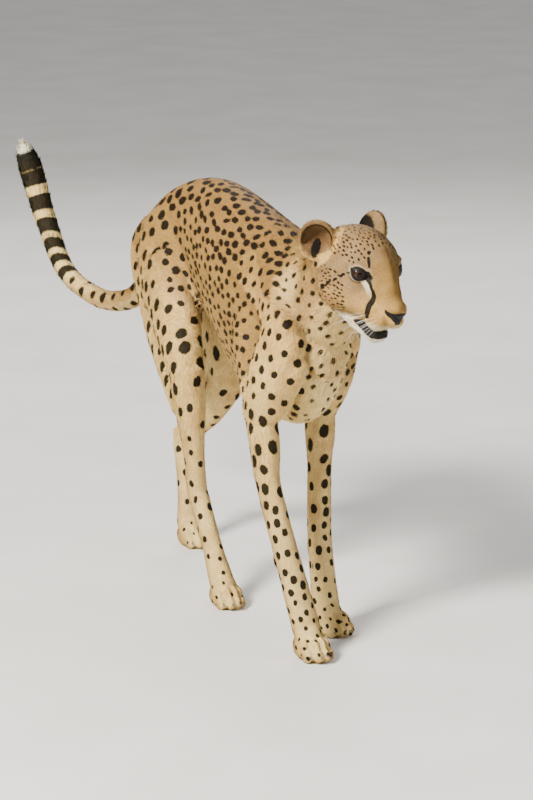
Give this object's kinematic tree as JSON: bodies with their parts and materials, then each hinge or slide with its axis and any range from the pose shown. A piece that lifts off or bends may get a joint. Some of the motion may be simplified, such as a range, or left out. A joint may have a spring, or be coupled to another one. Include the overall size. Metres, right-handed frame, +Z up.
{
  "type": "cheetah",
  "caption": "Life-size walking cheetah with a short spotted coat, a ringed tail and tear lines on the face; a still animal model.",
  "frame": {"origin": "centre of the bounding box at the floor the animal stands on", "axes": "+Z up, -Y the way the animal walks, +X the animal's left side"},
  "size_m": [0.2592, 1.5026, 0.8054],
  "materials": {
    "coat_tawny": "short tawny fur with solid black spots; fabric stands in for fur",
    "coat_pale": "short cream fur with small dark spots; fabric stands in for fur",
    "coat_ear": "thin fur, black at the back of the ear with a cream rim; fabric stands in for fur",
    "eye": "wet amber-brown iris and black round pupil under a clear cornea",
    "nose_leather": "bare black moist skin",
    "claw_horn": "dark blunt horn; gloss_plastic stands in for horn"
  },
  "bodies": {
    "root": {"claw_fore_left_1": "claw_horn", "claw_fore_left_2": "claw_horn", "claw_fore_left_3": "claw_horn", "claw_fore_left_4": "claw_horn", "claw_fore_left_5": "claw_horn", "claw_fore_right_1": "claw_horn", "claw_fore_right_2": "claw_horn", "claw_fore_right_3": "claw_horn", "claw_fore_right_4": "claw_horn", "claw_fore_right_5": "claw_horn", "claw_hind_left_1": "claw_horn", "claw_hind_left_2": "claw_horn", "claw_hind_left_3": "claw_horn", "claw_hind_left_4": "claw_horn", "claw_hind_right_1": "claw_horn", "claw_hind_right_2": "claw_horn", "claw_hind_right_3": "claw_horn", "claw_hind_right_4": "claw_horn", "ear_left": "coat_ear", "ear_right": "coat_ear", "eye_left": "eye", "eye_right": "eye", "forearm_left": "coat_tawny", "forearm_right": "coat_tawny", "forepaw_left": "coat_pale", "forepaw_right": "coat_pale", "head": "coat_tawny", "hindpaw_left": "coat_pale", "hindpaw_right": "coat_pale", "jaw": "coat_pale", "metatarsus_left": "coat_pale", "metatarsus_right": "coat_pale", "neck": "coat_tawny", "nose": "nose_leather", "shank_left": "coat_tawny", "shank_right": "coat_tawny", "tail_1": "coat_tawny", "tail_2": "coat_tawny", "tail_3": "coat_tawny", "tail_4": "coat_tawny", "thigh_left": "coat_tawny", "thigh_right": "coat_tawny", "trunk": "coat_tawny", "upper_arm_left": "coat_tawny", "upper_arm_right": "coat_tawny"}
  },
  "joints": []
}
